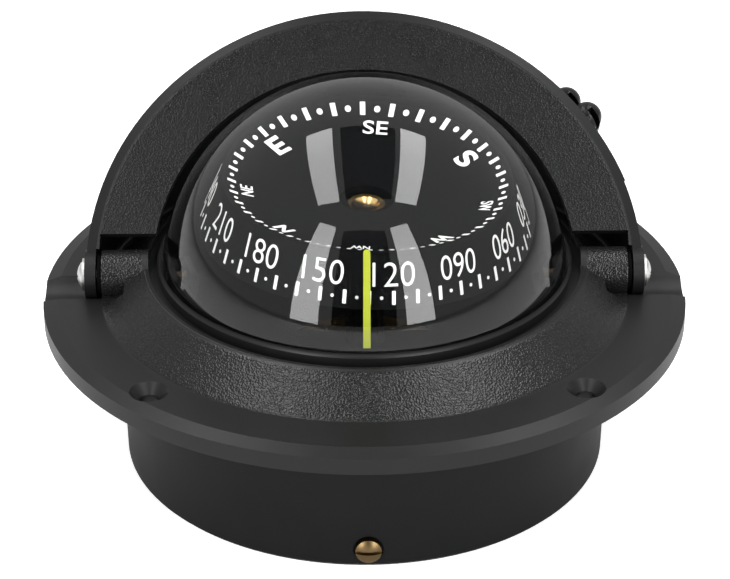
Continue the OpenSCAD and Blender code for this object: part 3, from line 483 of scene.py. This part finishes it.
# The card's printing, made flat and then laid on the card
PRINT_LOW = -0.02 * MM
PRINT_HIGH = 0.05 * MM
MARK_STEP = 10
NUMBER_STEP = 30
TOP_BAR = 0.75 * MM, 1.8 * MM
TOP_DOT = 0.44 * MM
TOP_MARKS_RADIUS = 23.65 * MM
LETTER_HEIGHT = 3.5 * MM
LETTER_RADIUS = 20.5 * MM
LETTER_PAIR = 3.6 * MM, 2.4 * MM
LETTER_PAIR_RADIUS = 20.7 * MM
SKIRT_BAR = 0.7 * MM, 2.7 * MM
SKIRT_DOT = 0.33 * MM
SKIRT_MARKS_DOWN = 9.0 * MM
NUMBER_SIZE = 8.3 * MM, 4.8 * MM
NUMBERS_DOWN = 4.4 * MM
CARD_SLOPE = math.atan2(CARD_SKIRT_RADIUS - CARD_TOP_RADIUS, CARD_RIM + CARD_DROP)
CARD_PLACE = (
    Matrix.Translation((0, 0, POINT_HEIGHT))
    @ Matrix.Rotation(CARD_LIST, 4, "Y")
    @ Matrix.Rotation(CARD_DIP, 4, "X")
)


def bearing_angle(bearing):
    """Angle from the right side, seen from above, of a bearing on the card."""
    return math.radians(90 - (bearing - HEADING))


def on_top(point, bearing, radius):
    """A flat print's point laid on the card's dished top, its upper side outwards."""
    angle = bearing_angle(bearing)
    outward = Vector((math.cos(angle), math.sin(angle), 0))
    right = Vector((math.sin(angle), -math.cos(angle), 0))
    reach = max(0.0, radius + point.y - DISH_FLAT)
    rise = DISH_CURVE - math.sqrt(DISH_CURVE**2 - reach**2)
    tilt = math.asin(reach / DISH_CURVE)
    inward = point.z * math.sin(tilt)
    height = CARD_MIDDLE + rise + point.z * math.cos(tilt)
    return outward * (radius + point.y - inward) + right * point.x + Vector((0, 0, height))


def on_skirt(point, bearing, down):
    """A flat print's point wrapped on the card's skirt, read from outside."""
    slope_down = down - point.y
    radius = CARD_TOP_RADIUS + slope_down * math.sin(CARD_SLOPE)
    height = CARD_RIM - slope_down * math.cos(CARD_SLOPE)
    angle = bearing_angle(bearing) + point.x / radius
    radius += point.z * math.cos(CARD_SLOPE)
    height += point.z * math.sin(CARD_SLOPE)
    return Vector((radius * math.cos(angle), radius * math.sin(angle), height))


def bar(width, length):
    """A flat bar, upright."""
    shape = bmesh.new()
    bmesh.ops.create_cube(shape, size=1)
    bmesh.ops.scale(shape, vec=(width, length, PRINT_HIGH - PRINT_LOW), verts=shape.verts)
    bmesh.ops.translate(shape, vec=(0, 0, (PRINT_HIGH + PRINT_LOW) / 2), verts=shape.verts)
    return shape


def dot(radius):
    """A flat round dot."""
    shape = bmesh.new()
    bmesh.ops.create_cone(
        shape, cap_ends=True, segments=20, radius1=radius, radius2=radius, depth=PRINT_HIGH - PRINT_LOW
    )
    bmesh.ops.translate(shape, vec=(0, 0, (PRINT_HIGH + PRINT_LOW) / 2), verts=shape.verts)
    return shape


def words(text, width, height, weight):
    """Flat letters that fill the given width and height, centred."""
    curve = bpy.data.curves.new("words", "FONT")
    curve.body = text
    curve.size = 1
    curve.resolution_u = 6
    curve.offset = weight
    curve.extrude = 0.5
    holder = bpy.data.objects.new("words", curve)
    bpy.context.scene.collection.objects.link(holder)
    depsgraph = bpy.context.evaluated_depsgraph_get()
    mesh = bpy.data.meshes.new_from_object(holder.evaluated_get(depsgraph))
    bpy.data.objects.remove(holder)
    bpy.data.curves.remove(curve)
    shape = bmesh.new()
    shape.from_mesh(mesh)
    bpy.data.meshes.remove(mesh)
    bmesh.ops.remove_doubles(shape, verts=shape.verts, dist=1e-5)
    low = Vector([min(v.co[i] for v in shape.verts) for i in range(3)])
    high = Vector([max(v.co[i] for v in shape.verts) for i in range(3)])
    size = high - low
    bmesh.ops.translate(shape, vec=-(low + high) / 2, verts=shape.verts)
    scale = (width / size.x, height / size.y, PRINT_HIGH - PRINT_LOW)
    bmesh.ops.scale(shape, vec=scale, verts=shape.verts)
    bmesh.ops.translate(shape, vec=(0, 0, (PRINT_HIGH + PRINT_LOW) / 2), verts=shape.verts)
    return shape


def lay(shape, onto, *where):
    """Moves a flat print onto the card."""
    for vertex in shape.verts:
        vertex.co = CARD_PLACE @ onto(vertex.co, *where)
    return shape


def joined(shapes):
    """One bmesh of many."""
    whole = bmesh.new()
    for shape in shapes:
        mesh = bpy.data.meshes.new("part")
        shape.to_mesh(mesh)
        shape.free()
        whole.from_mesh(mesh)
        bpy.data.meshes.remove(mesh)
    return whole


def make_top_marks():
    """Bars, dots and compass points on the card's dished top."""
    shapes = []
    for bearing in range(0, 360, MARK_STEP):
        shapes.append(lay(bar(*TOP_BAR), on_top, bearing, TOP_MARKS_RADIUS))
        shapes.append(lay(dot(TOP_DOT), on_top, bearing + MARK_STEP / 2, TOP_MARKS_RADIUS))
    for bearing, letter, width in ((0, "N", 3.1), (90, "E", 2.8), (180, "S", 3.0), (270, "W", 4.3)):
        shape = words(letter, width * MM, LETTER_HEIGHT, 0.03)
        shapes.append(lay(shape, on_top, bearing, LETTER_RADIUS))
    for bearing, letters in ((45, "NE"), (135, "SE"), (225, "SW"), (315, "NW")):
        shape = words(letters, *LETTER_PAIR, 0.01)
        shapes.append(lay(shape, on_top, bearing, LETTER_PAIR_RADIUS))
    return finished("card_top_print", joined(shapes), [print_white])


def make_skirt_marks():
    """Numbers, bars and dots on the card's skirt, read at the lubber line."""
    shapes = []
    for label in range(0, 360, MARK_STEP):
        facing = label + 180
        shapes.append(lay(bar(*SKIRT_BAR), on_skirt, facing, SKIRT_MARKS_DOWN))
        shapes.append(lay(dot(SKIRT_DOT), on_skirt, facing + MARK_STEP / 2, SKIRT_MARKS_DOWN))
    for label in range(0, 360, NUMBER_STEP):
        shape = words(f"{label:03d}", *NUMBER_SIZE, -0.008)
        shapes.append(lay(shape, on_skirt, label + 180, NUMBERS_DOWN))
    return finished("card_skirt_print", joined(shapes), [print_white])


for print_piece in (make_top_marks(), make_skirt_marks()):
    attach(print_piece, "card")

# Floor, lamps and world; places and lengths in metres
FLOOR_RADIUS = 6
FLOOR_GREY = 0.8
FLOOR_GLOW = 0.75
FLOOR_IN_MIRRORS = 0.2
STRIP_RADIANCE = 7.5
STRIP_TOP = 0.9
STRIP_BACK = 0.08
STRIP_SIZE = 0.205, 0.84
STANDING_HEIGHT = 0.65
STANDING_SIZE = 0.27, 1.3
STANDING_LEVEL = 1.05
WORLD_LIGHT = 0.25
WORLD_IN_MIRRORS = 0.6
WORLD_SEEN = 1.0


def make_floor():
    """A pale floor that shows white behind the object and keeps its shadow."""
    shape = bmesh.new()
    bmesh.ops.create_circle(shape, cap_ends=True, segments=64, radius=FLOOR_RADIUS)
    bmesh.ops.translate(shape, vec=(0, 0, cad_box[0].z), verts=shape.verts)
    finish = Finish("floor")
    lit = finish.node("ShaderNodeBsdfDiffuse", {}, {"Color": grey(FLOOR_GREY)})
    shown = finish.node("ShaderNodeEmission", {}, {"Color": grey(1), "Strength": FLOOR_GLOW})
    path = finish.tree.nodes.new("ShaderNodeLightPath")
    camera_ray = Value(finish, path.outputs["Is Camera Ray"])
    glossy_ray = Value(finish, path.outputs["Is Glossy Ray"])
    transmission_ray = Value(finish, path.outputs["Is Transmission Ray"])
    seen = camera_ray.sum_with("MAXIMUM", camera_ray, transmission_ray)
    seen = seen.sum_with("MAXIMUM", seen, glossy_ray * FLOOR_IN_MIRRORS)
    dark = finish.node("ShaderNodeEmission", {}, {"Strength": 0.0})
    glow = finish.node("ShaderNodeMixShader", {}, {0: seen, 1: dark, 2: shown})
    both = finish.node("ShaderNodeAddShader", {}, {0: lit, 1: glow})
    material = finish.done(both)
    floor = finished("floor", shape, [material])


def make_lamp(name, place, turned, width, length, radiance):
    """A rectangular lamp at a place, turned from facing down."""
    lamp = bpy.data.lights.new(name, "AREA")
    lamp.shape = "RECTANGLE"
    lamp.size = width
    lamp.size_y = length
    lamp.energy = radiance * math.pi * width * length
    holder = bpy.data.objects.new(name, lamp)
    bpy.context.scene.collection.objects.link(holder)
    holder.location = place
    holder.rotation_euler = turned


def make_lights():
    """Two strips overhead and two standing in front, mirrored in the dome as four bars."""
    for side, across, level in ((-1, -0.32, 1.0), (1, 0.36, 1.15)):
        place = (across, STRIP_BACK, STRIP_TOP)
        make_lamp(f"overhead strip {side}", place, (0, 0, 0), *STRIP_SIZE, STRIP_RADIANCE * level)
    for side, bearing in ((-1, -123), (1, -61)):
        angle = math.radians(bearing)
        place = Vector((math.cos(angle), math.sin(angle), STANDING_HEIGHT))
        inward = Vector((0, 0, STANDING_HEIGHT)) - place
        turned = inward.to_track_quat("-Z", "Y").to_euler()
        radiance = STRIP_RADIANCE * STANDING_LEVEL
        make_lamp(f"standing strip {side}", place, turned, *STANDING_SIZE, radiance)


def make_blinds():
    """Dark boards between the lamps, mirrored in the dome as the dark band down its middle."""
    finish = Finish("blind")
    material = finish.done(finish.node("ShaderNodeBsdfDiffuse", {}, {"Color": grey(0.01)}))
    for name, place, turn, width, length in (
        ("blind above", (0.03, STRIP_BACK, STRIP_TOP), 0, 0.38, 0.8),
        ("blind in front", (-0.02, -1.0, 0.66), math.radians(90), 0.62, 1.3),
    ):
        shape = bmesh.new()
        bmesh.ops.create_grid(shape, x_segments=1, y_segments=1, size=0.5)
        bmesh.ops.scale(shape, vec=(width, length, 1), verts=shape.verts)
        bmesh.ops.rotate(shape, matrix=Matrix.Rotation(turn, 3, "X"), verts=shape.verts)
        bmesh.ops.translate(shape, vec=place, verts=shape.verts)
        blind = finished(name, shape, [material])
        blind.visible_camera = False
        blind.visible_shadow = False
        blind.visible_diffuse = False
        blind.visible_transmission = False


def make_world():
    """White behind everything, softer in mirrors, dim as a light."""
    world = bpy.data.worlds.new("studio")
    bpy.context.scene.world = world
    world.use_nodes = True
    tree = world.node_tree
    tree.nodes.clear()
    path = tree.nodes.new("ShaderNodeLightPath")
    output = tree.nodes.new("ShaderNodeOutputWorld")
    shades = []
    for strength in (WORLD_LIGHT, WORLD_IN_MIRRORS, WORLD_SEEN):
        shade = tree.nodes.new("ShaderNodeBackground")
        shade.inputs["Color"].default_value = (1, 1, 1, 1)
        shade.inputs["Strength"].default_value = strength
        shades.append(shade)
    seen = tree.nodes.new("ShaderNodeMath")
    seen.operation = "MAXIMUM"
    tree.links.new(path.outputs["Is Camera Ray"], seen.inputs[0])
    tree.links.new(path.outputs["Is Transmission Ray"], seen.inputs[1])
    surface = shades[0].outputs[0]
    for factor, shade in ((path.outputs["Is Glossy Ray"], shades[1]), (seen.outputs[0], shades[2])):
        mix = tree.nodes.new("ShaderNodeMixShader")
        tree.links.new(factor, mix.inputs[0])
        tree.links.new(surface, mix.inputs[1])
        tree.links.new(shade.outputs[0], mix.inputs[2])
        surface = mix.outputs[0]
    tree.links.new(surface, output.inputs["Surface"])


def make_camera():
    """The photograph's camera, fitted to it."""
    camera = bpy.data.cameras.new("camera")
    holder = bpy.data.objects.new("camera", camera)
    bpy.context.scene.collection.objects.link(holder)
    camera.sensor_width = SENSOR_WIDTH
    camera.lens = FOCAL_PIXELS / PHOTO_WIDTH * SENSOR_WIDTH
    camera.shift_x = (PHOTO_WIDTH / 2 - CENTRE_X) / PHOTO_WIDTH
    camera.shift_y = (CENTRE_Y - PHOTO_HEIGHT / 2) / PHOTO_WIDTH
    level = math.cos(CAMERA_ELEVATION)
    back = Vector(
        (-math.sin(CAMERA_YAW) * level, -math.cos(CAMERA_YAW) * level, math.sin(CAMERA_ELEVATION))
    )
    holder.location = Vector((0, 0, FLANGE_TOP)) + back * CAMERA_DISTANCE
    holder.rotation_euler = (-back).to_track_quat("-Z", "Y").to_euler()
    camera.clip_start = 0.01
    camera.clip_end = 50
    bpy.context.scene.camera = holder


make_floor()
make_lights()
make_blinds()
make_world()
make_camera()
bpy.context.scene.view_settings.view_transform = "Standard"
